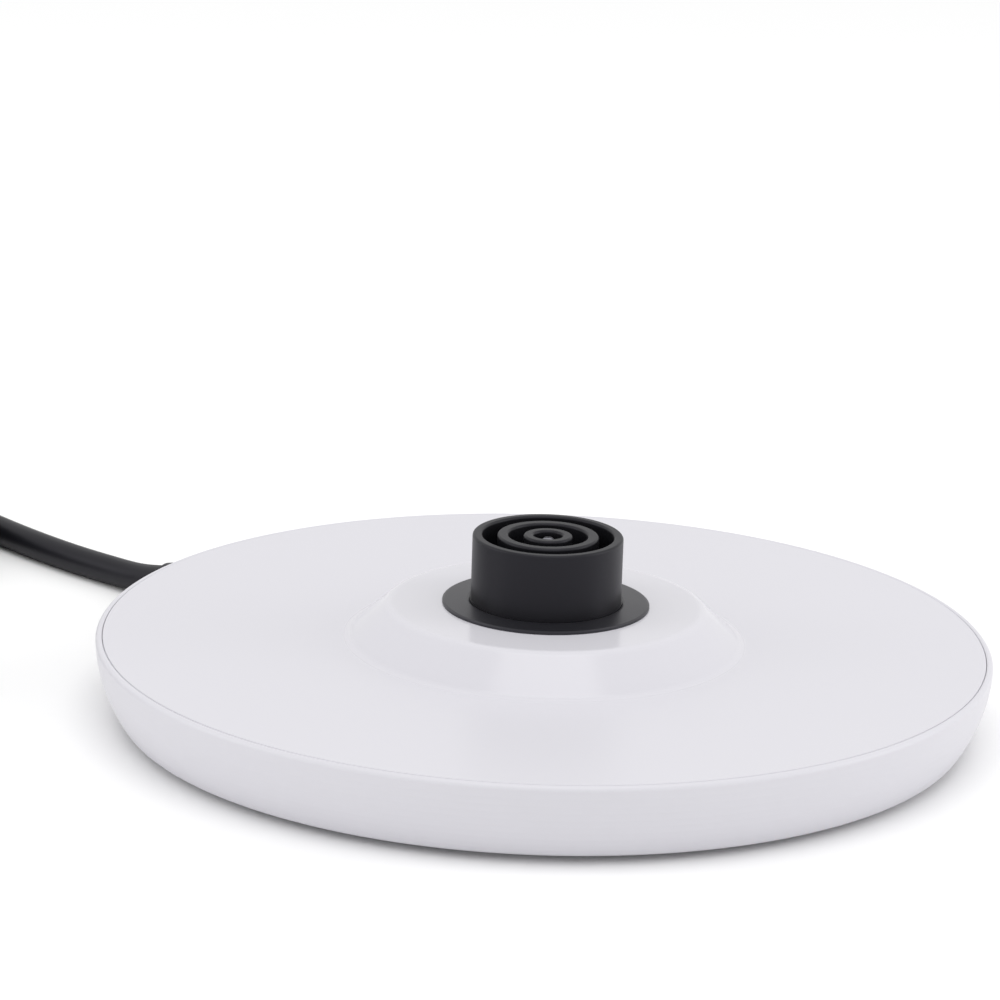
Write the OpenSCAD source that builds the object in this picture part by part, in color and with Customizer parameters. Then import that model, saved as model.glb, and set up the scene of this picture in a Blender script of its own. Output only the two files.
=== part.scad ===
// Power base of a cordless electric kettle, with its concentric 360 degree connector,
// sprung contacts, internal wiring, cord and mains plug.
// Millimetres, +Z up. The origin is on the table, on the connector's axis. The cord leaves along +Y.

/* [Housing] */
// Outside diameter of the base at its rim
base_d = 168; // [155:1:205]
// Height of the flat top above the table
rim_h = 15.7; // [15.5:0.1:20]
// Height of the feet below the housing
foot_h = 1.3; // [1.2:0.1:2.5]
// Thickness of the bowl's wall and floor
wall_t = 2.2; // [1.8:0.1:2.6]
// Thickness of the top cover
cover_t = 2.2; // [1.8:0.1:2.6]
// Width of the bowl's lip that shows round the top cover
lip_w = 1.2; // [1.1:0.05:1.6]
// Gap between the lip and the top cover
seam_gap = 0.1; // [0.1:0.05:0.4]
// Height of the raised plateau above the flat top
plateau_rise = 6.8; // [5:0.1:7.7]
// Width of the plateau's flat part, outside the boss
plateau_w = 15.4; // [14.5:0.1:18]
// Width of the slope round the plateau
slope_w = 7.4; // [6:0.1:12]

/* [Connector] */
// Outside diameter of the connector's boss
boss_d = 28.2; // [27:0.1:34]
// Height of the boss above the plateau
boss_rise = 13.5; // [11.5:0.1:17]
// Thickness of the boss's outer wall
boss_wall = 1.8; // [1.5:0.1:2]
// Outside radius of the ring wall between the two grooves
ring_r = 9.5; // [9.3:0.1:9.7]
// Thickness of that ring wall
ring_wall = 2.1; // [1.8:0.1:2.3]
// Outside radius of the centre tube
tube_r = 4.6; // [4.3:0.1:4.7]
// Radius of the hole for the kettle's centre pin
pin_hole_r = 2.7; // [2.4:0.05:3]
// Outside radius of the rubber seal round the boss
seal_r = 19.4; // [18.5:0.1:21]
// Thickness of the seal
seal_t = 0.7; // [0.5:0.05:1]
// How far each spring arm can be pressed down, in degrees
arm_travel = 4; // [3:0.5:4]

/* [Cord and plug] */
// Diameter of the cord
cord_d = 5.8; // [5:0.1:7]
// Height of the cord's centre where it leaves the wall
exit_h = 7.4; // [7.3:0.1:8.4]
// Diameter of the plug's face
plug_d = 38; // [36:0.5:40]
// Width of the plug across its two flats
plug_flat = 32.6; // [31:0.1:34]

/* [Hidden] */
$fn = 96;

fit = 0.05;          // clearance of pieces that are fixed in each other
loose = 0.3;         // clearance of pieces that only pass each other
e = 0.01;            // overlap of cutting solids past a face

// Housing heights and radii
base_r = base_d / 2;
lip_r = 0.9;         // rounding of the lip's outer edge
corner_r = 1.5;      // rounding of the bowl's bottom edge
lean_top = 3;        // the wall leans in by this much at its top, in degrees
lean_low = 34;       // and by this much at its foot
floor_z = foot_h + wall_t;
cover_z = rim_h - cover_t;
cover_r = base_r - lip_w - seam_gap;
arc_r = (rim_h - foot_h - lip_r * (1 + sin(lean_top)) - corner_r * (1 - sin(lean_low)))
    / (sin(lean_low) - sin(lean_top));
arc_c = [base_r - lip_r, rim_h - lip_r] - (arc_r - lip_r) * [cos(lean_top), -sin(lean_top)];
arc_foot = arc_c + arc_r * [cos(lean_low), -sin(lean_low)];
corner_c = arc_foot - corner_r * [cos(lean_low), -sin(lean_low)];
plateau_z = rim_h + plateau_rise;
under_z = plateau_z - cover_t;      // underside of the plateau
plateau_r = boss_d / 2 + plateau_w;
slope_r = plateau_r + slope_w;
fold_r = 2.5;                       // rounding of the plateau's two folds

// Connector
boss_r = boss_d / 2;
boss_in = boss_r - boss_wall;
boss_top = plateau_z + boss_rise;
edge_r = 0.5;                       // rounding of the boss's and the rings' top edges
foot_step = 0.2;                    // the boss is this much wider at its foot
boss_foot_z = plateau_z + seal_t + 0.3;
seat_t = 2;                         // the shell's ledge under the plateau
cover_hole_r = boss_r + foot_step + loose;
skirt_r = boss_r + 4.9;
skirt_in = skirt_r - boss_wall;
rim_t = 1.6;                        // the tower's rim, which seats under the ledge
groove_z = under_z + 2.4;           // floor of the two grooves
groove_t = 2;
ledge_z = under_z - seat_t;
tower_z = ledge_z - rim_t;
arm_t = 0.3;
term_t = 0.8;
arm_z = tower_z - 1.5 - arm_t;      // underside of the spring arms at rest
term_z = arm_z - term_t;
carrier_z = term_z - 1.4;
carrier_t = 1.8;
shell_z = carrier_z - carrier_t;
ear_t = 2;
ear_r = skirt_r + 4.5;              // radius of the circle of connector screws
ear_angles = [95, 225, 340];
post_r = skirt_in - 3;              // radius of the circle of carrier screws
post_angles = [100, 215, 285];
screw_r = 1.25;                     // connector and carrier screws
screw_head_r = 2.3;
screw_head_h = 1.5;

// Contacts: direction of each arm, its distance from the axis, its length, and its tongue's top
neutral_r = (tube_r + ring_r - ring_wall) / 2;
earth_r = (ring_r + boss_in) / 2;
live = [30, 0, 12, 0];
neutral = [150, neutral_r, 12, groove_z + 3.5];
earth = [270, earth_r, 9.5, groove_z + 5.5];
arm_w = 3.6;
tongue_w = 1.8;
tongue_t = 0.4;
post_h = boss_top - 0.6 - arm_z - arm_t;   // height of the live arm's post
pad_l = 4.4;                        // length of a spring's clamped root
root_gap = 0.15;                    // between a spring arm and its clamped root
rivet_r = 1;
tab_w = 6.3;
tab_end = skirt_r + 7;              // outer end of the terminal tabs
sleeve_x = skirt_r + 0.5;
sleeve_l = 9.8;
sleeve_w = 8.6;
sleeve_h = 3.8;
core_r = 1.2;
core_z = term_z + term_t / 2;

// Housing screws, feet and cord fittings
housing_r = base_r - 22;            // radius of the circle of housing screws
housing_angles = [60, 120, 240, 300];
housing_screw_r = 1.5;
housing_boss_r = 3.6;
housing_head_r = 3;
foot_circle = base_r - 16;
foot_angles = [30, 150, 210, 330];
foot_r = 6.5;
foot_socket = 0.8;                  // how far a foot sits in the floor
joint_z = floor_z + 4.2;            // where the bowl's and the cover's bosses meet
cord_r = cord_d / 2;
wall_at_exit = arc_c[0] + sqrt(pow(arc_r, 2) - pow(exit_h - arc_c[1], 2));
inner_z = floor_z + cord_r + 0.2;   // centre of the cord on the floor inside
clamp_y = wall_at_exit - 25;
sheath_end = clamp_y - 11;          // where the outer sheath is stripped
clamp_l = 7;
clamp_w = 25;
clamp_x = 9;                        // each clamp screw's distance from the cord's centre
clamp_z = inner_z + 0.6;
clamp_top = inner_z + cord_r + 1.2;
boot_neck = cord_r + 1.3;

// Route of the free cord, in the frame of its exit: its height is above the table
route = [[0, 0, 7.4], [0, 8, 6.8], [0.1, 16, 5], [0.4, 25, 3.4], [0.7, 35, 3], [1.1, 46, 2.9],
    [2.2, 58, 2.9], [4, 70, 2.9], [6.2, 83, 3], [7.6, 96, 3.5]];
coil_r = 5.9 * cord_d;              // middle of the coil's turns
tie_t = 0.6;
coil_h = 1.87 * cord_d;
boot_l = 17;
plug_boot_l = 20;
plug_l = 38;
plug_pin_l = 19;
plug_pin_r = 2.4;
plug_pin_x = 9.5;
clip_w = 5;

white = [0.89, 0.88, 0.9];
black = [0.13, 0.13, 0.15];

// ---------- helpers ----------

function unit(v) = v / norm(v);

// Points of an arc about c, from angle a to angle b
function arc(c, r, a, b, n = 8) = [for (i = [0:n]) let(t = a + (b - a) * i / n) c + r * [cos(t), sin(t)]];

// A closed outline of [x, y, radius] corners, each rounded by its radius
function rounded(p) = [for (i = [0:len(p) - 1])
    let(
        b = [p[i][0], p[i][1]],
        r = p[i][2],
        prev = p[(i + len(p) - 1) % len(p)],
        next = p[(i + 1) % len(p)],
        u = unit([prev[0], prev[1]] - b),
        v = unit([next[0], next[1]] - b),
        half = acos(u * v) / 2,
        c = b + unit(u + v) * r / sin(half),
        first = b + u * r / tan(half) - c,
        turn = (u[0] * v[1] - u[1] * v[0] > 0 ? -1 : 1) * (180 - 2 * half),
        start = atan2(first[1], first[0])
    )
    each r == 0 ? [b] : arc(c, r, start, start + turn, max(2, ceil(abs(turn) / 12)))];

// A smooth line through points: n steps between each two
function smooth(p, n = 2) = [for (i = [0:len(p) - 2])
    let(a = p[max(i - 1, 0)], b = p[i], c = p[i + 1], d = p[min(i + 2, len(p) - 1)])
    each [for (k = [0:(i == len(p) - 2 ? n : n - 1)])
        let(t = k / n)
        (2 * b + (c - a) * t + (2 * a - 5 * b + 4 * c - d) * t * t
            + (3 * b - a - 3 * c + d) * t * t * t) / 2]];

// A closed tube along a line, with a radius for each of its points
module sweep(line, radii, sides = 10) {
    last = len(line) - 1;
    points = [for (i = [0:last])
        let(
            along = unit(line[min(i + 1, last)] - line[max(i - 1, 0)]),
            side = unit(cross(along, [0, 0, 1])),
            up = cross(side, along)
        )
        each [for (k = [0:sides - 1])
            line[i] + radii[i] * (cos(360 * k / sides) * side + sin(360 * k / sides) * up)]];
    walls = [for (i = [0:last - 1], k = [0:sides - 1])
        [i * sides + k, i * sides + (k + 1) % sides, (i + 1) * sides + (k + 1) % sides, (i + 1) * sides + k]];
    near = [for (k = [0:sides - 1]) sides - 1 - k];
    far = [for (k = [0:sides - 1]) last * sides + k];
    polyhedron(points, concat([near], walls, [far]), convexity = 6);
}

module tube(line, r, sides = 10) {
    sweep(line, [for (p = line) r], sides);
}

// Children repeated round the axis at a radius and a list of angles
module around(r, angles) {
    for (a = angles) rotate([0, 0, a]) translate([r, 0, 0]) children();
}

// A screw with its head below z = 0 and its shank above it
module screw(shank_r, shank_l, head_r, head_h) {
    difference() {
        translate([0, 0, -head_h]) cylinder(r = head_r, h = head_h);
        for (a = [0, 90]) rotate([0, 0, a])
            translate([-head_r * 0.6, -0.35, -head_h - e]) cube([head_r * 1.2, 0.7, head_h * 0.6]);
    }
    cylinder(r = shank_r, h = shank_l);
}

// The frame of one contact: its arm lies along X and ends at x = 0
module contact_frame(c) {
    rotate([0, 0, c[0]]) translate([0, c[1], 0]) children();
}

// ---------- housing ----------

module top_cover() {
    outer = [[cover_hole_r, plateau_z, 0], [plateau_r, plateau_z, fold_r], [slope_r, rim_h, fold_r],
        [cover_r, rim_h, 0.25], [cover_r, cover_z, 0], [slope_r - 1.2, cover_z, fold_r],
        [plateau_r - 1.2, under_z, fold_r], [cover_hole_r, under_z, 0]];
    color(white) difference() {
        union() {
            rotate_extrude() polygon(rounded(outer));
            // locating rib inside the bowl's wall
            rotate_extrude() translate([cover_r - 5, cover_z - 1.2]) square([1.4, 1.2 + e]);
            around(housing_r, housing_angles) translate([0, 0, joint_z])
                cylinder(r = housing_boss_r, h = cover_z - joint_z + e);
            around(ear_r, ear_angles) translate([0, 0, shell_z + ear_t])
                cylinder(r = 3.1, h = under_z - shell_z - ear_t + e);
        }
        around(housing_r, housing_angles) translate([0, 0, joint_z - e])
            cylinder(r = housing_screw_r + fit, h = cover_z - joint_z - 0.6);
        around(ear_r, ear_angles) translate([0, 0, shell_z]) cylinder(r = screw_r + fit, h = 7.2);
    }
}

module base_bowl() {
    inner_r = arc_r - wall_t;
    top_a = asin((cover_z - arc_c[1]) / inner_r);
    low_a = asin((floor_z - arc_c[1]) / inner_r);
    profile = concat(
        [[0, floor_z], [0, foot_h]],
        arc(corner_c, corner_r, -90, -lean_low, 8),
        arc(arc_c, arc_r, -lean_low + 2, -lean_top, 9),
        arc([base_r - lip_r, rim_h - lip_r], lip_r, 8, 90, 8),
        [[base_r - lip_w, rim_h - 0.15], [base_r - lip_w, cover_z]],
        arc(arc_c, inner_r, top_a, low_a, 9));
    color(white) difference() {
        union() {
            rotate_extrude() polygon(profile);
            around(housing_r, housing_angles) cylinder_on_floor(housing_boss_r, joint_z);
            for (s = [-1, 1]) translate([s * clamp_x, clamp_y, 0]) cylinder_on_floor(2.8, clamp_z - loose);
            // stiffening rib on the floor
            rotate_extrude() translate([housing_r - 10, floor_z - e]) square([1.4, 1.2]);
        }
        around(housing_r, housing_angles) {
            translate([0, 0, foot_h - e]) cylinder(r = housing_head_r + loose, h = 1.8 + 2 * e);
            cylinder(r = housing_screw_r + fit, h = joint_z + 1);
        }
        around(foot_circle, foot_angles) translate([0, 0, foot_h - e])
            cylinder(r = foot_r + fit, h = foot_socket + e);
        for (s = [-1, 1]) translate([s * clamp_x, clamp_y, floor_z]) cylinder(r = screw_r + fit, h = 10);
        // hole for the boot's neck, and the trough that the cord lies in
        translate([0, base_r - 12, exit_h]) rotate([-90, 0, 0]) cylinder(r = boot_neck + fit, h = 20);
        translate([0, wall_at_exit - 8.2, exit_h]) rotate([-90, 0, 0])
            cylinder(r = boot_neck + 0.6 + fit, h = 2);
        translate([0, sheath_end - 4, inner_z]) rotate([-90, 0, 0])
            cylinder(r = cord_r + loose, h = base_r - sheath_end);
    }
}

module cylinder_on_floor(r, top) {
    translate([0, 0, floor_z - e]) cylinder(r = r, h = top - floor_z + e);
}

module rubber_feet() {
    foot = [[0, 0, 0], [foot_r, 0, 0.6], [foot_r, foot_h + foot_socket, 0], [0, foot_h + foot_socket, 0]];
    color(black) around(foot_circle, foot_angles) rotate_extrude() polygon(rounded(foot));
}

module housing_screws() {
    color("silver") around(housing_r, housing_angles) translate([0, 0, foot_h + 1.8])
        screw(housing_screw_r, 8.4, housing_head_r, 1.6);
}

module rating_plate() {
    plate = [50, 26];
    color("gainsboro") translate([0, -42, foot_h - 0.3]) linear_extrude(0.3)
        polygon(rounded([for (c = [[-1, -1], [1, -1], [1, 1], [-1, 1]])
            [c[0] * plate[0] / 2, c[1] * plate[1] / 2, 3]]));
}

// ---------- connector ----------

module seal_ring() {
    // a soft washer that is a little higher where it hugs the boss
    hole = boss_r + foot_step + fit;
    outline = [[hole, plateau_z], [seal_r, plateau_z], [seal_r, plateau_z + seal_t * 0.6],
        [seal_r - 0.4, plateau_z + seal_t * 0.85], [hole + 0.4, plateau_z + seal_t + 0.1],
        [hole, plateau_z + seal_t]];
    color(black) rotate_extrude() polygon(outline);
}

module socket_shell() {
    outline = [[boss_in, ledge_z, 0], [boss_in, boss_top, edge_r], [boss_r, boss_top, edge_r],
        [boss_r, boss_foot_z, 0], [boss_r + foot_step, boss_foot_z, 0], [boss_r + foot_step, under_z, 0],
        [skirt_r, under_z, 0], [skirt_r, shell_z, 0], [skirt_in, shell_z, 0],
        [skirt_in, ledge_z, 0]];
    color(black) difference() {
        union() {
            rotate_extrude() polygon(rounded(outline));
            for (a = ear_angles) rotate([0, 0, a]) translate([0, 0, shell_z]) linear_extrude(ear_t)
                difference() {
                    union() {
                        translate([ear_r, 0]) circle(r = 4);
                        translate([skirt_in + 0.6, -4]) square([ear_r - skirt_in - 0.6, 8]);
                    }
                    translate([ear_r, 0]) circle(r = screw_r + 0.15);
                }
        }
        for (c = [live, neutral, earth]) contact_frame(c)
            translate([c[2], -tab_w / 2 - 0.5, shell_z + ear_t])
                cube([20, tab_w + 1, arm_z + arm_t + 1 - shell_z - ear_t]);
    }
}

module contact_tower() {
    rim_in = boss_in - 1.3;
    color(black) difference() {
        union() {
            rotate_extrude() polygon(rounded([[pin_hole_r, tower_z + 2, 0], [pin_hole_r, boss_top, edge_r],
                [tube_r, boss_top, edge_r], [tube_r, groove_z, 0], [ring_r - ring_wall, groove_z, 0],
                [ring_r - ring_wall, boss_top, edge_r], [ring_r, boss_top, edge_r], [ring_r, groove_z, 0],
                [boss_in - fit, groove_z, 0], [boss_in - fit, ledge_z, 0], [skirt_in - fit, ledge_z, 0],
                [skirt_in - fit, tower_z, 0], [rim_in, tower_z, 0], [rim_in, groove_z - groove_t, 0],
                [tube_r, groove_z - groove_t, 0], [tube_r, tower_z + 2, 0]]));
            around(post_r, post_angles) translate([0, 0, carrier_z])
                cylinder(r = 2.3, h = tower_z - carrier_z + e);
        }
        around(post_r, post_angles) translate([0, 0, carrier_z - e]) cylinder(r = screw_r + fit, h = 4.6);
        for (c = [neutral, earth]) contact_frame(c)
            translate([-2.6, -1.3, tower_z - e]) cube([4, 2.6, groove_z - tower_z + 2 * e]);
    }
}

module terminal_carrier() {
    color([0.2, 0.2, 0.22]) difference() {
        union() {
            translate([0, 0, shell_z]) cylinder(r = skirt_in - fit, h = carrier_t);
            for (c = [live, neutral, earth]) contact_frame(c)
                translate([c[2] + 0.1, -2.4, carrier_z - e]) cube([pad_l, 4.8, term_z - carrier_z + e]);
        }
        around(post_r, post_angles) translate([0, 0, shell_z - e])
            cylinder(r = screw_r + 0.15, h = carrier_t + 2 * e);
        for (c = [live, neutral, earth]) contact_frame(c)
            translate([c[2] + pad_l / 2, 0, shell_z - e])
                cylinder(r = rivet_r + fit, h = term_z - shell_z + 2 * e);
        // keeps the raised pads inside the shell's skirt
        rotate_extrude() translate([skirt_in - fit, shell_z - e]) square([6, term_z - shell_z + 1]);
    }
}

module carrier_screws() {
    color("silver") around(post_r, post_angles) translate([0, 0, shell_z])
        screw(screw_r, 6, screw_head_r, screw_head_h);
}

module connector_screws() {
    color("silver") around(ear_r, ear_angles) translate([0, 0, shell_z])
        screw(screw_r, 7, screw_head_r, screw_head_h);
}

module terminal(c) {
    color("gold") contact_frame(c) difference() {
        translate([c[2] + 0.1, 0, term_z]) linear_extrude(term_t)
            polygon([[0, -tab_w / 2 + 0.6], [pad_l, -tab_w / 2], [tab_end - c[2] - 1.6, -tab_w / 2],
                [tab_end - c[2], -tab_w / 2 + 1.6], [tab_end - c[2], tab_w / 2 - 1.6],
                [tab_end - c[2] - 1.6, tab_w / 2], [pad_l, tab_w / 2], [0, tab_w / 2 - 0.6]]);
        translate([c[2] + pad_l / 2, 0, term_z - e]) cylinder(r = rivet_r + fit, h = 2);
    }
}

module spring_roots() {
    color("peru") for (c = [live, neutral, earth]) contact_frame(c) difference() {
        translate([c[2], -arm_w / 2, arm_z]) cube([pad_l, arm_w, arm_t]);
        translate([c[2] + pad_l / 2, 0, arm_z - e]) cylinder(r = rivet_r + fit, h = 1);
    }
}

module contact_rivets() {
    color("silver") for (c = [live, neutral, earth]) contact_frame(c) translate([c[2] + pad_l / 2, 0, 0]) {
        translate([0, 0, shell_z]) cylinder(r = rivet_r, h = arm_z + arm_t - shell_z + e);
        translate([0, 0, arm_z + arm_t]) cylinder(r = 1.6, h = 0.5);
    }
}

// A spring arm that starts at its clamped root; its tongue stands up into a groove
module spring_arm(c) {
    over = c[3] > 0 ? 0 : 1.2;
    color("peru") contact_frame(c) {
        translate([-tongue_t - over, -arm_w / 2, arm_z])
            cube([c[2] + tongue_t + over - root_gap, arm_w, arm_t]);
        if (c[3] > 0) translate([-tongue_t, -tongue_w / 2, arm_z]) cube([tongue_t, tongue_w, c[3] - arm_z]);
    }
}

// The silver contact of an arm: a post on the live arm, a cap on each other tongue
module contact_tip(c) {
    color("silver") contact_frame(c) {
        if (c[3] > 0) translate([-tongue_t - 0.2, -0.8, c[3]]) cube([tongue_t + 0.4, 1.6, 0.6]);
        else translate([0.3, 0, arm_z + arm_t]) difference() {
            rotate_extrude() polygon([[0, 0], [1.5, 0], [1.5, 1], [0.8, 1.4], [0.8, post_h - 1.6],
                [1.2, post_h - 1], [1.2, post_h - 0.4], [0.8, post_h - 0.1], [0, post_h]]);
            translate([-0.2, -2, post_h - 1]) cube([0.4, 4, 2]);
        }
    }
}

module receptacle(c) {
    color("gold") contact_frame(c) difference() {
        union() {
            translate([sleeve_x + 0.4, -tab_w / 2 - 0.6, core_z - 1.2]) cube([6.6, tab_w + 1.2, 2.4]);
            translate([sleeve_x + 6.9, 0, core_z]) rotate([0, 90, 0]) cylinder(r = core_r + 0.4, h = 2);
        }
        translate([sleeve_x, -tab_w / 2 - fit, core_z - term_t / 2 - fit])
            cube([6.6, tab_w + 2 * fit, term_t + 2 * fit]);
        translate([sleeve_x + 7.4, 0, core_z]) rotate([0, 90, 0]) cylinder(r = core_r + 0.25, h = 4);
    }
}

module sleeve(c) {
    color("white") contact_frame(c) translate([sleeve_x, 0, core_z]) difference() {
        rotate([90, 0, 90]) linear_extrude(sleeve_l)
            polygon(rounded([for (q = [[-1, -1], [1, -1], [1, 1], [-1, 1]])
                [q[0] * sleeve_w / 2, q[1] * sleeve_h / 2, 1]]));
        translate([-e, -tab_w / 2 - 0.75, -1.62]) cube([sleeve_l - 0.6, tab_w + 1.5, 3.24]);
        rotate([0, 90, 0]) cylinder(r = core_r + 0.2, h = sleeve_l + 1);
    }
}

// A core from its receptacle to the stripped end of the cord. The points between are chosen by hand.
module core(c, between, end) {
    d = [cos(c[0]), sin(c[0])];
    n = [-d[1], d[0]];
    start = [for (q = [[7.5, 0], [sleeve_l, 0], [sleeve_l + 4, -2.4]])
        [d[0] * (sleeve_x + q[0]) + n[0] * c[1], d[1] * (sleeve_x + q[0]) + n[1] * c[1], core_z + q[1]]];
    last = [for (q = [[0.7, 9, 0], [0.1, 4, 0], [0, 0.3, 0]])
        end - [-q[0] * sign(end[0] + 0.01) * 4, q[1], 0]];
    tube(smooth(concat(start, between, last)), core_r, 8);
}

low_z = core_z - 3.8;               // height at which the cores run under the cover

module live_core() {
    color("saddlebrown") core(live, [[34, 25, low_z], [24, sheath_end - 17, low_z - 1]],
        [1.45, sheath_end, inner_z - 0.9]);
}

module neutral_core() {
    color("steelblue") core(neutral, [[-38, 15, low_z], [-36, 27, low_z], [-20, sheath_end - 14, low_z - 1]],
        [-1.45, sheath_end, inner_z - 0.9]);
}

module earth_core() {
    color("yellowgreen") core(earth, [[22, -38, low_z], [36, -30, low_z], [44, -12, low_z], [43, 12, low_z],
        [38, sheath_end - 19.5, low_z], [17, sheath_end - 9, low_z]], [0, sheath_end, inner_z + 1.75]);
}

// ---------- cord ----------

inner_line = [[0, sheath_end, inner_z], [0, clamp_y + 6, inner_z], [0, wall_at_exit - 13, inner_z + 0.1],
    [0, wall_at_exit - 6, exit_h - 0.05], [0, wall_at_exit - 0.25, exit_h]];

// The free cord's route from the wall to the coil
free_line = smooth([for (p = route) [p[0], p[1] + wall_at_exit, p[1] == 0 ? exit_h : p[2] + cord_r - 2.9]]);
route_end = free_line[len(free_line) - 1];
coil_c = [route_end[0] - coil_r - cord_r, route_end[1], tie_t];

// From the coil's top turn to the plug, which lies beside the coil
tail_z = coil_c[2] + coil_h - cord_r;
plug_z = plug_flat / 2;
tail_start = [coil_c[0] - 0.174 * coil_r, coil_c[1] + 0.985 * coil_r, tail_z];
tail_x = coil_c[0] - coil_r - cord_d - plug_d / 2 - 4;
tail_line = smooth([tail_start, tail_start + [-10.5, -1.8, 0.3], tail_start + [-21, -3.7, 1.3],
    [tail_x + 24.8, coil_c[1] + 27, plug_z - 5.3], [tail_x + 11.9, coil_c[1] + 21.5, plug_z - 3.1],
    [tail_x + 3.3, coil_c[1] + 11.1, plug_z - 1.1], [tail_x, coil_c[1] - 2.5, plug_z - 0.1],
    [tail_x, coil_c[1] - 12, plug_z]], 3);
plug_y = coil_c[1] - 8;             // where the plug's own boot begins

module cord_inner() {
    color(black) tube(inner_line, cord_r, 12);
}

module cord_clamp() {
    color([0.85, 0.85, 0.87]) difference() {
        translate([-clamp_w / 2, clamp_y - clamp_l / 2, clamp_z])
            cube([clamp_w, clamp_l, clamp_top - clamp_z]);
        translate([0, clamp_y - clamp_l, inner_z]) rotate([-90, 0, 0])
            cylinder(r = cord_r + fit, h = 2 * clamp_l);
        for (s = [-1, 1]) translate([s * clamp_x, clamp_y, clamp_z - e]) cylinder(r = screw_r + fit, h = 10);
    }
}

module clamp_screws() {
    color("silver") for (s = [-1, 1]) translate([s * clamp_x, clamp_y, clamp_top]) mirror([0, 0, 1])
        screw(screw_r, clamp_top - floor_z - 0.6, screw_head_r, screw_head_h);
}

// A tapering sleeve along a line, bored for the cord
module hose(line, radii, bore, sides = 16) {
    last = len(line) - 1;
    ring = [for (rr = [radii, [for (r = radii) bore]], i = [0:last])
        let(
            along = unit(line[min(i + 1, last)] - line[max(i - 1, 0)]),
            side = unit(cross(along, [0, 0, 1])),
            up = cross(side, along)
        )
        each [for (k = [0:sides - 1])
            line[i] + rr[i] * (cos(360 * k / sides) * side + sin(360 * k / sides) * up)]];
    m = (last + 1) * sides;
    outside = [for (i = [0:last - 1], k = [0:sides - 1])
        let(a = i * sides + k, b = i * sides + (k + 1) % sides)
        [a, b, b + sides, a + sides]];
    inside = [for (i = [0:last - 1], k = [0:sides - 1])
        let(a = m + i * sides + k, b = m + i * sides + (k + 1) % sides)
        [b, a, a + sides, b + sides]];
    near = [for (k = [0:sides - 1]) let(b = (k + 1) % sides) [b, k, m + k, m + b]];
    far = [for (k = [0:sides - 1]) let(a = last * sides + k, b = last * sides + (k + 1) % sides)
        [a, b, m + b, m + a]];
    polyhedron(ring, concat(outside, inside, near, far), convexity = 6);
}

// The strain relief follows the cord's first bend
module cord_boot() {
    outside = [for (p = free_line) if (p[1] > wall_at_exit + 1 && p[1] < wall_at_exit + boot_l) p];
    inside = [for (y = [-8, -6.4, -6.3, -1, 0.4]) [0, wall_at_exit + y, exit_h]];
    color(black) hose(concat(inside, outside),
        concat([boot_neck + 0.6, boot_neck + 0.6, boot_neck, boot_neck, boot_neck],
            [for (i = [0:len(outside) - 1]) boot_neck - (boot_neck - cord_r - 0.7) * (i + 1) / len(outside)]),
        cord_r + 0.2);
}

module cord_lead() {
    // it ends where it meets the coil's solid
    clear = coil_r + 1.5 * cord_d + 0.1;
    line = [for (p = free_line) if (norm([p[0] - coil_c[0], p[1] - coil_c[1]]) > clear) p];
    color(black) tube(line, cord_r, 10);
}

module cord_coil() {
    color(black) translate(coil_c) rotate_extrude() {
        for (s = [-1, 1]) translate([coil_r + s * cord_r, cord_r]) circle(r = cord_r, $fn = 24);
        translate([coil_r, coil_h - cord_r]) circle(r = cord_r, $fn = 24);
        polygon([[coil_r - cord_r, cord_r], [coil_r + cord_r, cord_r], [coil_r, coil_h - cord_r]]);
    }
}

// A strap round the coil's turns
module coil_tie() {
    reach = cord_d + tie_t + 0.2;
    color([0.2, 0.2, 0.22]) translate([coil_c[0], coil_c[1], 0]) rotate([0, 0, 40]) translate([coil_r, 0, 0])
        difference() {
            translate([-reach, -2.5, 0]) cube([2 * reach, 5, coil_h + 2 * tie_t + fit]);
            translate([-cord_d - 0.2, -4, tie_t]) cube([2 * (cord_d + 0.2), 8, coil_h + fit]);
        }
}

module cord_tail() {
    // it begins where it is clear of the coil's solid
    clear = coil_r + cord_d + 0.1;
    line = [for (p = tail_line) if (norm([p[0] - coil_c[0], p[1] - coil_c[1]]) > clear) p];
    color(black) tube(line, cord_r, 10);
}

module plug_boot() {
    // a ribbed cone, bored for the cord
    r0 = cord_r + 1;
    r1 = cord_r + 3.2;
    color(black) translate([tail_x, plug_y, plug_z]) rotate([90, 0, 0]) difference() {
        rotate_extrude() polygon([[cord_r + 0.25, 0], [r0, 0], [r0 + 0.5, 4], [r0 + 0.1, 4], [r0 + 0.1, 5.4],
            [r0 + 0.9, 5.4], [r0 + 1.2, 9.4], [r0 + 0.7, 9.4], [r0 + 0.7, 10.8], [r0 + 1.5, 10.8],
            [r1, 15], [r1 + 2.6, plug_boot_l], [cord_r + 0.25, plug_boot_l]]);
    }
}

module plug_body() {
    color(black) translate([tail_x, plug_y - plug_boot_l, plug_z]) rotate([90, 0, 0]) difference() {
        intersection() {
            rotate_extrude() polygon(rounded([[0, 0, 0], [plug_d * 0.31, 0, 3], [plug_d / 2, 14, 6],
                [plug_d / 2, plug_l, 1], [0, plug_l, 0]]));
            translate([-plug_d, -plug_flat / 2, -1]) cube([2 * plug_d, plug_flat, plug_l + 2]);
        }
        for (s = [-1, 1]) {
            translate([s * plug_pin_x, 0, plug_l - 10]) cylinder(r = plug_pin_r + fit, h = 11);
            translate([-clip_w / 2 - fit, s > 0 ? plug_flat / 2 - 1.2 : -plug_flat / 2 - 1, plug_l - 26])
                cube([clip_w + 2 * fit, 2.2, 27]);
        }
    }
}

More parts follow.
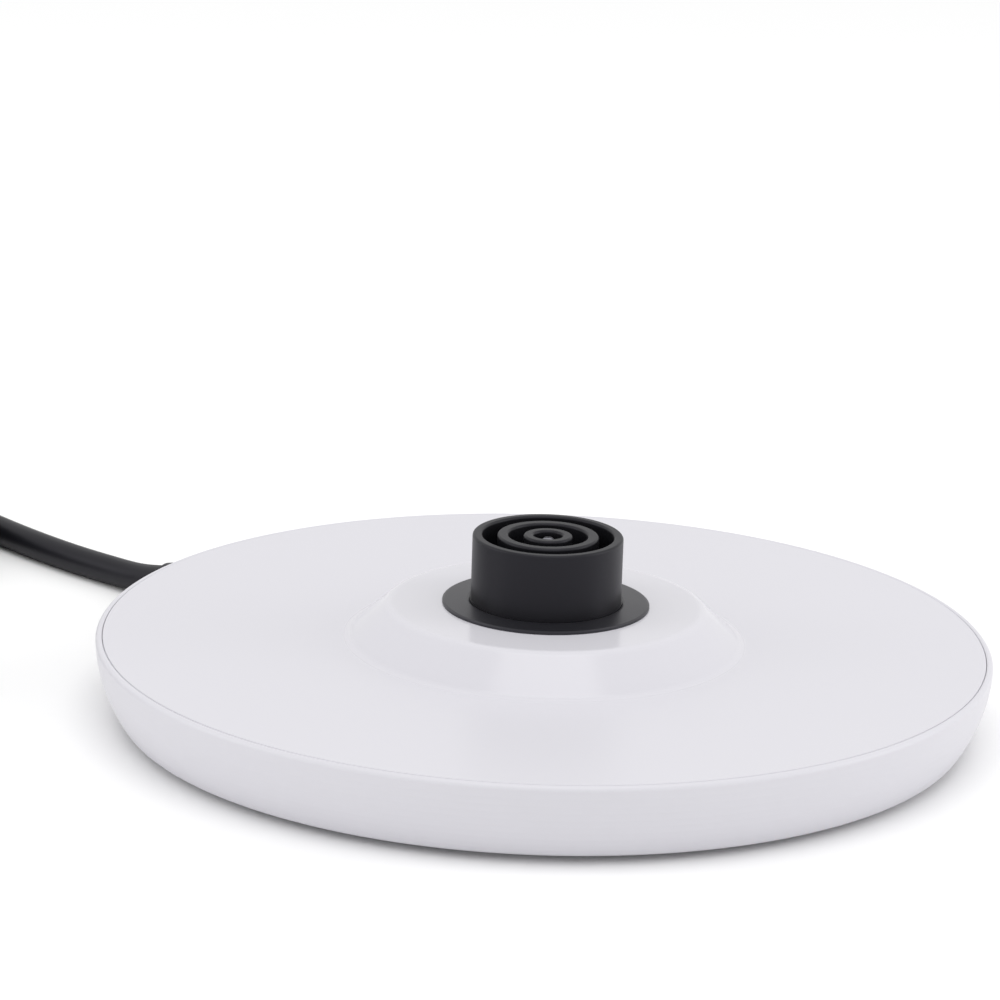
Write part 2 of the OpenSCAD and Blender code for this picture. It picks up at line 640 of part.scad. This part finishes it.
module plug_pins() {
    color("silver") translate([tail_x, plug_y - plug_boot_l - plug_l, plug_z]) rotate([90, 0, 0])
        for (s = [-1, 1]) translate([s * plug_pin_x, 0, -10]) rotate_extrude()
            polygon(rounded([[0, 0, 0], [plug_pin_r, 0, 0], [plug_pin_r, plug_pin_l + 10, 1.2],
                [0, plug_pin_l + 10, 0]]));
}

module plug_earth_clips() {
    color("silver") translate([tail_x, plug_y - plug_boot_l - plug_l, plug_z]) rotate([90, 0, 0])
        for (s = [-1, 1]) translate([-clip_w / 2, s > 0 ? plug_flat / 2 - 1.2 : -plug_flat / 2 + 0.5, -26])
            cube([clip_w, 0.7, 26]);
}

module live_terminal() {
    terminal(live);
}

module neutral_terminal() {
    terminal(neutral);
}

module earth_terminal() {
    terminal(earth);
}

module live_spring_arm() {
    spring_arm(live);
}

module neutral_spring_arm() {
    spring_arm(neutral);
}

module earth_spring_arm() {
    spring_arm(earth);
}

module live_contact_tip() {
    contact_tip(live);
}

module neutral_contact_tip() {
    contact_tip(neutral);
}

module earth_contact_tip() {
    contact_tip(earth);
}

module live_receptacle() {
    receptacle(live);
}

module neutral_receptacle() {
    receptacle(neutral);
}

module earth_receptacle() {
    receptacle(earth);
}

module live_sleeve() {
    sleeve(live);
}

module neutral_sleeve() {
    sleeve(neutral);
}

module earth_sleeve() {
    sleeve(earth);
}

top_cover();
base_bowl();
rubber_feet();
housing_screws();
rating_plate();
seal_ring();
socket_shell();
contact_tower();
terminal_carrier();
carrier_screws();
connector_screws();
live_terminal();
neutral_terminal();
earth_terminal();
spring_roots();
contact_rivets();
live_spring_arm();
neutral_spring_arm();
earth_spring_arm();
live_contact_tip();
neutral_contact_tip();
earth_contact_tip();
live_receptacle();
neutral_receptacle();
earth_receptacle();
live_sleeve();
neutral_sleeve();
earth_sleeve();
live_core();
neutral_core();
earth_core();
cord_inner();
cord_clamp();
clamp_screws();
cord_boot();
cord_lead();
cord_coil();
coil_tie();
cord_tail();
plug_boot();
plug_body();
plug_pins();
plug_earth_clips();
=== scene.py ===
import math

import bpy
from bpy.props import FloatProperty, FloatVectorProperty, IntProperty, PointerProperty
from mathutils import Matrix, Vector


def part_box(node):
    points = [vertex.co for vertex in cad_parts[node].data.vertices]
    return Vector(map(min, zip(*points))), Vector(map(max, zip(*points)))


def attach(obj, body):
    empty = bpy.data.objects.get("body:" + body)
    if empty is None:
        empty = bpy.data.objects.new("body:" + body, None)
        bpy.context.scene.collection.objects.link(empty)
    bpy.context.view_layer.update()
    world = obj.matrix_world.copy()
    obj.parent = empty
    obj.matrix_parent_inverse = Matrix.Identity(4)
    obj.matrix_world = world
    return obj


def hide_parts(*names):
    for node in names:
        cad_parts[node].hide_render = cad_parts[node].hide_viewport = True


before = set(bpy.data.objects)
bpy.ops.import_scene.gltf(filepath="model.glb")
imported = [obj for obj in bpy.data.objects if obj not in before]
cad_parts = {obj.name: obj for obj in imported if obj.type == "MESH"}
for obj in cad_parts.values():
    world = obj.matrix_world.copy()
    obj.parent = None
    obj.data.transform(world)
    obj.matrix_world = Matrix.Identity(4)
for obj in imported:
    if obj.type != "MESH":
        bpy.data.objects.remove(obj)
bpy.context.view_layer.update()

bl_info = {
    "name": "Kettle power base",
    "version": (1, 0, 0),
    "blender": (4, 5, 0),
    "location": "3D View > Sidebar > Kettle base",
    "description": "Finishes, cord and studio for the power base of a cordless kettle",
    "category": "Object",
}

MM = 0.001

# Places that come from the solids
INNER_LOW, INNER_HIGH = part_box("cord_inner")
RIM_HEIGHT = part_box("base_bowl")[1][2]
RELIEF_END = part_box("cord_boot")[1][1]
CORD_RADIUS = (INNER_HIGH[0] - INNER_LOW[0]) / 2
EXIT_Y = INNER_HIGH[1] + 0.25 * MM      # where the cord passes the wall's outer face

# The cord's route from the wall, listed: y counts from the wall, z from the table
ROUTE = [
    (0, 0, 7.4), (0, 8, 6.8), (0.1, 16, 5), (0.4, 25, 3.4), (0.7, 35, 3), (1.1, 46, 2.9),
    (2.2, 58, 2.9), (4, 70, 2.9), (6.2, 83, 3), (7.6, 96, 3.5),
]
COIL_RADIUS = 5.9 * 2 * CORD_RADIUS     # middle of the coil's turns
STRAP = 0.6 * MM                        # the strap under the coil lifts it by its thickness
TURN_STEPS = 72                         # points in each turn of the coil
STEP_IN = (285, 65)                     # degrees where the cord starts to move inwards, and for how long
STEP_UP = (560, 85)                     # the same for the climb to the top turn
ARCH = (677, 40)                        # middle of the arch over the cord below, and half its length
ARCH_HEIGHT = 0.7 * MM
LEAVE_AT = 820                          # degrees round the coil where the cord leaves for the plug
COOL = (0.91, 0.89, 1.0, 1)             # cool tint of the shine on black plastics
SEAM = 0.002 * MM                       # corners closer than this are one corner
RIB_SHARE = 0.62                        # how much of a rib's step is rubber; the rest is slot
FLOOR_HALF = 6                          # half the floor's width


# ---------- settings ----------

class HousingLooks(bpy.types.PropertyGroup):
    """Colours and gloss of the moulded housing."""
    white: FloatVectorProperty(
        name="White", description="Colour of the housing's plastic", subtype="COLOR",
        size=3, min=0, max=1, default=(0.662, 0.653, 0.694))
    satin: FloatProperty(
        name="Roughness", description="Roughness of the housing", subtype="FACTOR",
        min=0, max=1, default=0.32)
    polish: FloatProperty(
        name="Polished roughness", description="Roughness of the polished raised centre",
        subtype="FACTOR", min=0, max=1, default=0.15)
    polish_radius: FloatProperty(
        name="Polished radius", description="How far the polish reaches from the axis", unit="LENGTH",
        min=0, default=36 * MM)
    polish_fade: FloatProperty(
        name="Polish fade", description="Width over which the polish fades out", unit="LENGTH",
        min=0.1 * MM, default=3 * MM)


class ConnectorLooks(bpy.types.PropertyGroup):
    """Colours of the connector and its contacts."""
    black: FloatVectorProperty(
        name="Black", description="Colour of the connector's nylon", subtype="COLOR",
        size=3, min=0, max=1, default=(0.006, 0.006, 0.0075))
    roughness: FloatProperty(
        name="Roughness", description="Roughness of the connector's nylon", subtype="FACTOR",
        min=0, max=1, default=0.42)
    edge: FloatProperty(
        name="Edge radius", description="Radius of the connector's small edges", unit="LENGTH",
        min=0, default=0.12 * MM)


class CordLooks(bpy.types.PropertyGroup):
    """Sizes and colours of the cord, its strain relief and its plug."""
    free_length: FloatProperty(
        name="Free length", description="Length of cord outside the housing", unit="LENGTH",
        min=0.1, default=0.67)
    sheath: FloatVectorProperty(
        name="Sheath", description="Colour of the cord's sheath", subtype="COLOR",
        size=3, min=0, max=1, default=(0.007, 0.007, 0.009))
    ribs: IntProperty(
        name="Ribs", description="Number of flexible ribs on the strain relief",
        min=0, max=20, default=6)
    rib_depth: FloatProperty(
        name="Rib depth", description="Depth of the slots between the ribs", unit="LENGTH",
        min=0, default=0.35 * MM)


class StudioLooks(bpy.types.PropertyGroup):
    """The camera, the floor and the lights."""
    lens: FloatProperty(
        name="Lens", description="Focal length of the camera", unit="CAMERA", min=10, default=180)
    distance: FloatProperty(
        name="Distance", description="Level distance of the camera from the connector's axis",
        unit="LENGTH", min=0.1, default=894.2 * MM)
    height: FloatProperty(
        name="Height", description="Height of the camera above the rim", unit="LENGTH",
        default=284.6 * MM)
    azimuth: FloatProperty(
        name="Azimuth", description="Where the camera stands round the axis", subtype="ANGLE",
        default=math.radians(-50))
    yaw: FloatProperty(
        name="Yaw", description="Turn of the camera away from the axis", subtype="ANGLE",
        default=math.radians(-0.589))
    pitch: FloatProperty(
        name="Pitch", description="How far the camera looks down", subtype="ANGLE",
        default=math.radians(16.089))
    roll: FloatProperty(
        name="Roll", description="Tilt of the camera about its view", subtype="ANGLE", default=0.0330)
    floor: FloatVectorProperty(
        name="Floor", description="Colour of the floor", subtype="COLOR", size=3, min=0, max=1,
        default=(0.96, 0.96, 0.96))
    sky: FloatProperty(
        name="Fill", description="Strength of the even light from all round", min=0, default=0.88)


# ---------- shader maths ----------

class Value:
    """An output socket that can be used in a Python expression."""

    def __init__(self, paint, socket):
        self.paint, self.socket = paint, socket

    def _math(self, operation, *terms):
        made = self.paint.add("ShaderNodeMath", {"operation": operation}, dict(enumerate(terms)))
        return made.out("Value")

    def __add__(self, other):
        return self._math("ADD", self, other)

    def __mul__(self, other):
        return self._math("MULTIPLY", self, other)

    def __gt__(self, other):
        return self._math("GREATER_THAN", self, other)

    __radd__ = __add__
    __rmul__ = __mul__

    def fract(self):
        return self._math("FRACT", self)


class Made:
    """A node that has been added, with its outputs by name."""

    def __init__(self, paint, node):
        self.paint, self.node = paint, node

    def out(self, name):
        return Value(self.paint, self.node.outputs[name])


class Paint:
    """A material under construction, on one Principled shader."""

    def __init__(self, name, colour, roughness, metallic=0.0, **constants):
        self.material = bpy.data.materials.new(name)
        self.material.use_nodes = True
        self.tree = self.material.node_tree
        self.shader = self.tree.nodes["Principled BSDF"]
        self.shader.inputs["Base Color"].default_value = (*colour, 1)
        self.shader.inputs["Roughness"].default_value = roughness
        self.shader.inputs["Metallic"].default_value = metallic
        for key, value in constants.items():
            self.shader.inputs[key.replace("_", " ")].default_value = value
        self.material.diffuse_color = (*colour, 1)

    def add(self, kind, settings, inputs):
        """Adds a node: its settings first, then its sockets' values or links."""
        node = self.tree.nodes.new(kind)
        for key, value in settings.items():
            setattr(node, key, value)
        for key, value in inputs.items():
            self.feed(node.inputs[key], value)
        return Made(self, node)

    def feed(self, socket, value):
        if isinstance(value, Value):
            self.tree.links.new(value.socket, socket)
        else:
            socket.default_value = value

    def set(self, name, value):
        self.feed(self.shader.inputs[name], value)

    def place(self):
        return self.add("ShaderNodeTexCoord", {}, {}).out("Object")

    def noise(self, scale, detail=3.0):
        return self.add("ShaderNodeTexNoise", {}, {
            "Vector": self.place(), "Scale": scale, "Detail": detail}).out("Fac")

    def blend(self, mask, first, second):
        """The first colour where mask is 0 and the second where it is 1."""
        mix = self.add("ShaderNodeMix", {"data_type": "RGBA"},
                       {0: mask, 6: (*first, 1), 7: (*second, 1)})
        return Value(self, mix.node.outputs[2])

    def bump(self, height, strength, distance):
        self.set("Normal", self.add("ShaderNodeBump", {}, {
            "Height": height, "Strength": strength, "Distance": distance}).out("Normal"))


def shades(colour, amount):
    """A darker and a lighter shade of a colour."""
    return [tuple(min(1, c * f) for c in colour) for f in (1 - amount, 1 + amount)]


# ---------- finishes ----------

def polished_white(name, looks):
    """Moulded housing plastic, satin with a polished centre, with faint flow in its gloss."""
    paint = Paint(name, looks.white, looks.satin, Specular_IOR_Level=0.28)
    flow = paint.noise(22)
    paint.set("Base Color", paint.blend(flow, *shades(looks.white, 0.006)))
    at = paint.add("ShaderNodeSeparateXYZ", {}, {0: paint.place()})
    outside = paint.add("ShaderNodeMapRange", {}, {
        "Value": at.out("X") * at.out("X") + at.out("Y") * at.out("Y"),
        "From Min": looks.polish_radius ** 2,
        "From Max": (looks.polish_radius + looks.polish_fade) ** 2}).out("Result")
    paint.set("Roughness", looks.polish + (looks.satin - looks.polish) * outside + 0.05 * flow)
    return paint.material


def moulded_black(name, colour, roughness, grain=1400, depth=0.015, gloss=0.4):
    """Black moulded plastic with a fine eroded grain."""
    paint = Paint(name, colour, roughness, Specular_IOR_Level=gloss, Specular_Tint=COOL)
    cloud = paint.noise(60)
    paint.set("Base Color", paint.blend(cloud, *shades(colour, 0.12)))
    paint.set("Roughness", roughness - 0.05 + 0.1 * cloud)
    paint.bump(paint.noise(grain, 2.0), 0.35, depth * MM)
    return paint.material


def soft_rubber(name, colour):
    """Matt rubber, dusty where it is worn."""
    paint = Paint(name, colour, 0.7, Specular_IOR_Level=0.35)
    wear = paint.noise(140)
    paint.set("Base Color", paint.blend(wear, *shades(colour, 0.25)))
    paint.set("Roughness", 0.62 + 0.16 * wear)
    paint.bump(paint.noise(1800, 2.0), 0.4, 0.02 * MM)
    return paint.material


def stamped_metal(name, colour, roughness, scale=900):
    """Bare sheet or turned metal with fine rolling marks."""
    paint = Paint(name, colour, roughness, metallic=1.0)
    marks = paint.noise(scale)
    paint.set("Base Color", paint.blend(marks, *shades(colour, 0.08)))
    paint.set("Roughness", roughness - 0.07 + 0.14 * marks)
    return paint.material


def insulation(name, colour):
    """Smooth insulation of a single core."""
    paint = Paint(name, colour, 0.35)
    tone = paint.noise(90)
    paint.set("Base Color", paint.blend(tone, *shades(colour, 0.08)))
    return paint.material


def striped_insulation(name, green, yellow):
    """Green insulation with yellow stripes, for the earth core."""
    paint = Paint(name, green, 0.35)
    split = paint.add("ShaderNodeSeparateXYZ", {}, {0: paint.place()})
    bands = (split.out("X") * 90 + split.out("Y") * 90 + split.out("Z") * 240).fract() > 0.5
    paint.set("Base Color", paint.blend(bands, green, yellow))
    return paint.material


def milky_sleeve(name):
    """Milky nylon of the terminal sleeves."""
    paint = Paint(name, (0.74, 0.75, 0.74), 0.4, Specular_IOR_Level=0.45)
    tone = paint.noise(120)
    paint.set("Roughness", 0.34 + 0.12 * tone)
    return paint.material


def blank_label(name):
    """Satin silver label film with no print."""
    paint = Paint(name, (0.6, 0.6, 0.61), 0.4, metallic=0.6)
    paint.set("Roughness", 0.34 + 0.1 * paint.noise(400))
    return paint.material


def webbing(name, colour):
    """Woven hook-and-loop strap."""
    paint = Paint(name, colour, 0.85, Specular_IOR_Level=0.2)
    split = paint.add("ShaderNodeSeparateXYZ", {}, {0: paint.place()})
    weave = ((split.out("X") + split.out("Y")) * 1300).fract() * ((split.out("Z") * 1300).fract())
    paint.set("Base Color", paint.blend(weave, *shades(colour, 0.4)))
    paint.bump(weave, 0.5, 0.08 * MM)
    return paint.material


# ---------- making pieces ----------

def finish_node(name, material, edge=0.0):
    """Gives a CAD node its material and, where asked, small rounded edges."""
    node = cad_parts[name]
    if not node.material_slots:
        node.data.materials.append(material)
    for place in node.material_slots:
        place.link = "OBJECT"
        place.material = material
    if edge > 0:
        weld = node.modifiers.new("Join seams", "WELD")
        weld.merge_threshold = SEAM
        bevel = node.modifiers.new("Soft edges", "BEVEL")
        bevel.width = edge
        bevel.segments = 2
        bevel.limit_method = "ANGLE"
        bevel.angle_limit = math.radians(40)
        bevel.use_clamp_overlap = True
        bevel.harden_normals = True
    return node


def smooth_route(points, steps):
    """A smooth line through points, with that many steps between each two."""
    line = []
    for i in range(len(points) - 1):
        a, b = points[max(i - 1, 0)], points[i]
        c, d = points[i + 1], points[min(i + 2, len(points) - 1)]
        for k in range(steps):
            t = k / steps
            line.append((2 * b + (c - a) * t + (2 * a - 5 * b + 4 * c - d) * t * t
                         + (3 * b - a - 3 * c + d) * t * t * t) / 2)
    return line + [points[-1]]


def ease(x):
    """Smooth step from 0 to 1."""
    x = min(max(x, 0), 1)
    return x * x * (3 - 2 * x)


def lead_route():
    """The cord from the wall to the coil, in metres."""
    return smooth_route([Vector((x, y, z)) * MM + Vector((0, EXIT_Y, 0)) for x, y, z in ROUTE], 8)


def coil_centre():
    end = lead_route()[-1]
    return Vector((end.x - COIL_RADIUS - CORD_RADIUS, end.y, 0))


def coil_point(degrees):
    """The cord's centre that many degrees round the coil.

    One turn lies outside, one inside, and the last on top of the two.
    """
    diameter = 2 * CORD_RADIUS
    outer = COIL_RADIUS + CORD_RADIUS
    low = STRAP + CORD_RADIUS
    if degrees < STEP_UP[0]:
        radius = outer - diameter * ease((degrees - STEP_IN[0]) / STEP_IN[1])
        height = low
    else:
        # from level with the outer turn to resting in the dip between two turns
        lift = math.radians(180 - 60 * ease((degrees - STEP_UP[0]) / STEP_UP[1]))
        radius = outer + diameter * math.cos(lift)
        height = low + diameter * math.sin(lift)
        over = (degrees - ARCH[0]) / ARCH[1]
        height += ARCH_HEIGHT * (math.cos(math.pi * over) + 1) / 2 if abs(over) < 1 else 0
    angle = math.radians(degrees)
    return coil_centre() + Vector((radius * math.cos(angle), radius * math.sin(angle), height))


def tail_route():
    """The cord from the coil's top turn to the plug, with its points given round the plug's place."""
    low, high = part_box("plug_body")
    x, z = (low[0] + high[0]) / 2, (low[2] + high[2]) / 2
    start, centre = coil_point(LEAVE_AT), coil_centre()
    back = coil_point(LEAVE_AT - 10)
    points = [
        back, start, start + Vector((-10.5, -1.8, 0.3)) * MM, start + Vector((-21, -3.7, 1.3)) * MM,
        Vector((x + 24.8 * MM, centre.y + 27 * MM, z - 5.3 * MM)),
        Vector((x + 11.9 * MM, centre.y + 21.5 * MM, z - 3.1 * MM)),
        Vector((x + 3.3 * MM, centre.y + 11.1 * MM, z - 1.1 * MM)),
        Vector((x, centre.y - 2.5 * MM, z - 0.1 * MM)), Vector((x, centre.y - 12 * MM, z)),
    ]
    return smooth_route(points, 6)[7:]


def put(name, data):
    """A new object in the scene, with that name and data."""
    made = bpy.data.objects.new(name, data)
    bpy.context.scene.collection.objects.link(made)
    return made


def swept(name, line, radii, sides):
    """A closed tube along a line, with a radius at each point."""
    vertices, faces = [], []
    for i, point in enumerate(line):
        along = (line[min(i + 1, len(line) - 1)] - line[max(i - 1, 0)]).normalized()
        side = along.cross(Vector((0, 0, 1))).normalized()
        up = side.cross(along)
        for k in range(sides):
            a = 2 * math.pi * k / sides
            vertices.append(point + radii[i] * (math.cos(a) * side + math.sin(a) * up))
    for i in range(len(line) - 1):
        for k in range(sides):
            n = (k + 1) % sides
            faces.append((i * sides + k, i * sides + n, (i + 1) * sides + n, (i + 1) * sides + k))
    faces.append(tuple(reversed(range(sides))))
    faces.append(tuple((len(line) - 1) * sides + k for k in range(sides)))
    mesh = bpy.data.meshes.new(name)
    mesh.from_pydata(vertices, [], faces)
    mesh.validate()
    mesh.shade_smooth()
    return put(name, mesh)


# ---------- operators ----------

class Studio(bpy.types.Operator):
    """Make the camera, the floor and the soft lights"""
    bl_idname = "kettle_base.studio"
    bl_label = "Studio"

    def execute(self, context):
        looks = context.scene.kettle_studio
        self.camera(context, looks)
        self.floor(looks)
        self.lights(context, looks)
        context.scene.view_settings.view_transform = "Standard"
        return {"FINISHED"}

    def camera(self, context, looks):
        data = bpy.data.cameras.new("camera")
        data.lens = looks.lens
        data.sensor_width = 36
        data.clip_start, data.clip_end = 0.05, 20
        camera = put("camera", data)
        stand = Matrix.Rotation(looks.azimuth, 3, "Z")
        forward = Vector((math.sin(looks.yaw) * math.cos(looks.pitch),
                          math.cos(looks.yaw) * math.cos(looks.pitch), -math.sin(looks.pitch)))
        right = Vector((math.cos(looks.yaw), -math.sin(looks.yaw), 0))
        up = right.cross(forward)
        spot = stand @ Vector((0, -looks.distance, 0)) + Vector((0, 0, RIM_HEIGHT + looks.height))
        # a positive roll lowers the object's right side in the frame
        turned = Matrix((right * math.cos(looks.roll) + up * math.sin(looks.roll),
                         up * math.cos(looks.roll) - right * math.sin(looks.roll), -forward)).transposed()
        camera.matrix_world = Matrix.Translation(spot) @ (stand @ turned).to_4x4()
        context.scene.camera = camera

    def floor(self, looks):
        mesh = bpy.data.meshes.new("floor")
        corners = ((-1, -1), (1, -1), (1, 1), (-1, 1))
        mesh.from_pydata([(x * FLOOR_HALF, y * FLOOR_HALF, 0) for x, y in corners], [], [(0, 1, 2, 3)])
        floor = put("floor", mesh)
        mesh.materials.append(Paint("floor paper", looks.floor, 0.9, Specular_IOR_Level=0.0).material)

    def lights(self, context, looks):
        world = bpy.data.worlds.new("studio")
        world.use_nodes = True
        sky = world.node_tree.nodes["Background"]
        sky.inputs["Color"].default_value = (1, 1, 1, 1)
        sky.inputs["Strength"].default_value = looks.sky
        context.scene.world = world
        stand = Matrix.Rotation(looks.azimuth, 3, "Z")
        # name, place as seen from the camera's side, width, height, power in watts
        for name, place, width, height, power in (
                ("top box", (0.03, -0.25, 1.3), 0.9, 0.6, 4.0),
                ("left box", (-1.1, -0.1, 0.45), 0.4, 0.8, 1.6),
                ("right box", (1.1, 0.0, 0.45), 0.4, 0.8, 2.2)):
            data = bpy.data.lights.new(name, "AREA")
            data.shape = "RECTANGLE"
            data.size, data.size_y, data.energy = width, height, power
            lamp = put(name, data)
            lamp.location = stand @ Vector(place)
            lamp.rotation_mode = "QUATERNION"
            lamp.rotation_quaternion = (-lamp.location).to_track_quat("-Z", "Y")


class StrainRelief(bpy.types.Operator):
    """Make the ribbed sleeve that follows the cord's first bend"""
    bl_idname = "kettle_base.strain_relief"
    bl_label = "Strain relief"

    def execute(self, context):
        looks = context.scene.kettle_cord
        reach = RELIEF_END - EXIT_Y
        neck = CORD_RADIUS + 1.3 * MM
        tip = CORD_RADIUS + 0.5 * MM
        flange = neck + 0.6 * MM
        # the flange, the neck in the wall, then the tapering ribs
        inside = [Vector((0, EXIT_Y + y * MM, ROUTE[0][2] * MM)) for y in (-8, -6.45, -6.35, -3, -1)]
        outside = [p for p in smooth_route(lead_route(), 6) if 0 <= p.y - EXIT_Y <= reach]
        radii = [flange, flange, neck, neck, neck]
        for point in outside:
            along = (point.y - EXIT_Y) / reach
            turn = along * (looks.ribs + 1)
            in_slot = 0.5 < turn < looks.ribs + 0.5 and turn % 1 > RIB_SHARE
            body = neck + (tip - neck) * along
            radii.append(body - looks.rib_depth * in_slot if along < 0.985 else tip - 0.3 * MM)
        relief = swept("strain_relief", inside + outside, radii, 40)
        relief.data.materials.append(moulded_black("relief rubber", looks.sheath, 0.45))
        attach(relief, "base")
        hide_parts("cord_boot")
        return {"FINISHED"}


class Cord(bpy.types.Operator):
    """Lay the cord from the wall to its coil and on to the plug"""
    bl_idname = "kettle_base.cord"
    bl_label = "Cord"

    def execute(self, context):
        looks = context.scene.kettle_cord
        first = lead_route()
        turns = [coil_point(a * 360 / TURN_STEPS) for a in range(1, round(LEAVE_AT * TURN_STEPS / 360))]
        line = first + turns + tail_route()
        line[0] = Vector((0, EXIT_Y, line[0].z))
        curve = bpy.data.curves.new("cord", "CURVE")
        curve.dimensions = "3D"
        curve.bevel_depth = CORD_RADIUS
        curve.bevel_resolution = 6
        curve.use_fill_caps = True
        strand = curve.splines.new("POLY")
        strand.points.add(len(line) - 1)
        strand.use_smooth = True
        for at, point in zip(strand.points, line):
            at.co = (*point, 1)
        curve.materials.append(moulded_black("cord sheath", looks.sheath, 0.42, 900, 0.02, gloss=0.3))
        cord = put("cord", curve)
        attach(cord, "base")
        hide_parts("cord_lead", "cord_coil", "cord_tail")
        return {"FINISHED"}


class Housing(bpy.types.Operator):
    """Finish the bowl and the top cover"""
    bl_idname = "kettle_base.housing"
    bl_label = "Housing"

    def execute(self, context):
        looks = context.scene.kettle_housing
        for node, name in (("top_cover", "cover plastic"), ("base_bowl", "bowl plastic")):
            finish_node(node, polished_white(name, looks))
        return {"FINISHED"}


class FeetAndLabel(bpy.types.Operator):
    """Finish the feet, the seal round the boss and the blank label"""
    bl_idname = "kettle_base.feet_and_label"
    bl_label = "Feet, seal and label"

    def execute(self, context):
        finish_node("rubber_feet", soft_rubber("foot rubber", (0.035, 0.035, 0.038)), 0.2 * MM)
        finish_node("seal_ring", moulded_black("seal rubber", (0.014, 0.014, 0.017), 0.38, gloss=0.5))
        finish_node("rating_plate", blank_label("label film"))
        return {"FINISHED"}


class Connector(bpy.types.Operator):
    """Finish the boss, the ring walls and the terminal carrier"""
    bl_idname = "kettle_base.connector"
    bl_label = "Connector"

    def execute(self, context):
        looks = context.scene.kettle_connector
        nylon = moulded_black("boss nylon", looks.black, looks.roughness, gloss=0.33)
        for node in ("socket_shell", "contact_tower"):
            finish_node(node, nylon)
        finish_node("terminal_carrier", nylon, looks.edge)
        return {"FINISHED"}


class Contacts(bpy.types.Operator):
    """Finish the spring arms, the contacts and the terminals"""
    bl_idname = "kettle_base.contacts"
    bl_label = "Contacts"

    def execute(self, context):
        bronze = stamped_metal("spring bronze", (0.72, 0.44, 0.26), 0.3)
        silver = stamped_metal("contact silver", (0.86, 0.85, 0.83), 0.22)
        brass = stamped_metal("terminal brass", (0.80, 0.62, 0.30), 0.28)
        # dark grey silver, used only for the live contact tip just below the top of the centre hole
        darkened = stamped_metal("tarnished silver", (0.24, 0.24, 0.27), 0.34)
        for line, tip in (("live", darkened), ("neutral", silver), ("earth", silver)):
            finish_node(line + "_spring_arm", bronze, 0.05 * MM)
            finish_node(line + "_contact_tip", tip, 0.1 * MM)
            finish_node(line + "_terminal", brass, 0.08 * MM)
            finish_node(line + "_receptacle", brass, 0.1 * MM)
            finish_node(line + "_sleeve", milky_sleeve(line + " sleeve nylon"), 0.1 * MM)
        finish_node("spring_roots", bronze, 0.05 * MM)
        finish_node("contact_rivets", silver, 0.1 * MM)
        return {"FINISHED"}


class Wiring(bpy.types.Operator):
    """Finish the three cores, the cord inside the housing and its clamp"""
    bl_idname = "kettle_base.wiring"
    bl_label = "Wiring"

    def execute(self, context):
        sheath = context.scene.kettle_cord.sheath
        finish_node("live_core", insulation("brown core", (0.16, 0.06, 0.025)))
        finish_node("neutral_core", insulation("blue core", (0.04, 0.16, 0.55)))
        finish_node("earth_core",
                    striped_insulation("earth core", (0.05, 0.35, 0.05), (0.85, 0.72, 0.04)))
        finish_node("cord_inner", moulded_black("inner sheath", sheath, 0.4))
        finish_node("cord_clamp", moulded_black("clamp plastic", (0.5, 0.5, 0.52), 0.45), 0.3 * MM)
        return {"FINISHED"}


class Screws(bpy.types.Operator):
    """Finish the housing, connector, carrier and clamp screws"""
    bl_idname = "kettle_base.screws"
    bl_label = "Screws"

    def execute(self, context):
        zinc = stamped_metal("screw zinc", (0.66, 0.66, 0.67), 0.32)
        for node in ("housing_screws", "connector_screws", "carrier_screws", "clamp_screws"):
            finish_node(node, zinc, 0.15 * MM)
        return {"FINISHED"}


class Plug(bpy.types.Operator):
    """Finish the plug, its boot, pins and earth clips, and the coil's strap"""
    bl_idname = "kettle_base.plug"
    bl_label = "Plug"

    def execute(self, context):
        sheath = context.scene.kettle_cord.sheath
        body = moulded_black("plug body", sheath, 0.5, 1100, 0.03)
        nickel = stamped_metal("plug nickel", (0.78, 0.77, 0.74), 0.2)
        finish_node("plug_body", body, 0.6 * MM)
        finish_node("plug_boot", body, 0.2 * MM)
        finish_node("plug_pins", nickel, 0.2 * MM)
        finish_node("plug_earth_clips", nickel, 0.15 * MM)
        finish_node("coil_tie", webbing("strap webbing", (0.03, 0.03, 0.033)), 0.25 * MM)
        return {"FINISHED"}


class KettleBasePanel(bpy.types.Panel):
    """Steps that build the kettle base's looks"""
    bl_idname = "VIEW3D_PT_kettle_base"
    bl_label = "Kettle base"
    bl_space_type = "VIEW_3D"
    bl_region_type = "UI"
    bl_category = "Kettle base"

    def draw(self, context):
        for step in STEPS:
            self.layout.operator(step.bl_idname)
        for group in GROUPS:
            looks = getattr(context.scene, group)
            for key in looks.bl_rna.properties.keys():
                if key not in {"rna_type", "name"}:
                    self.layout.prop(looks, key)


STEPS = (Studio, StrainRelief, Cord, Housing, FeetAndLabel, Connector, Contacts, Wiring, Screws, Plug)
GROUPS = {
    "kettle_housing": HousingLooks,
    "kettle_connector": ConnectorLooks,
    "kettle_cord": CordLooks,
    "kettle_studio": StudioLooks,
}


def register():
    for kind in (*GROUPS.values(), *STEPS, KettleBasePanel):
        bpy.utils.register_class(kind)
    for name, group in GROUPS.items():
        setattr(bpy.types.Scene, name, PointerProperty(type=group))


def unregister():
    for name in GROUPS:
        delattr(bpy.types.Scene, name)
    for kind in reversed((*GROUPS.values(), *STEPS, KettleBasePanel)):
        bpy.utils.unregister_class(kind)


def main():
    register()
    for step in STEPS:
        family, name = step.bl_idname.split(".")
        getattr(getattr(bpy.ops, family), name)()


if __name__ == "__main__":
    main()
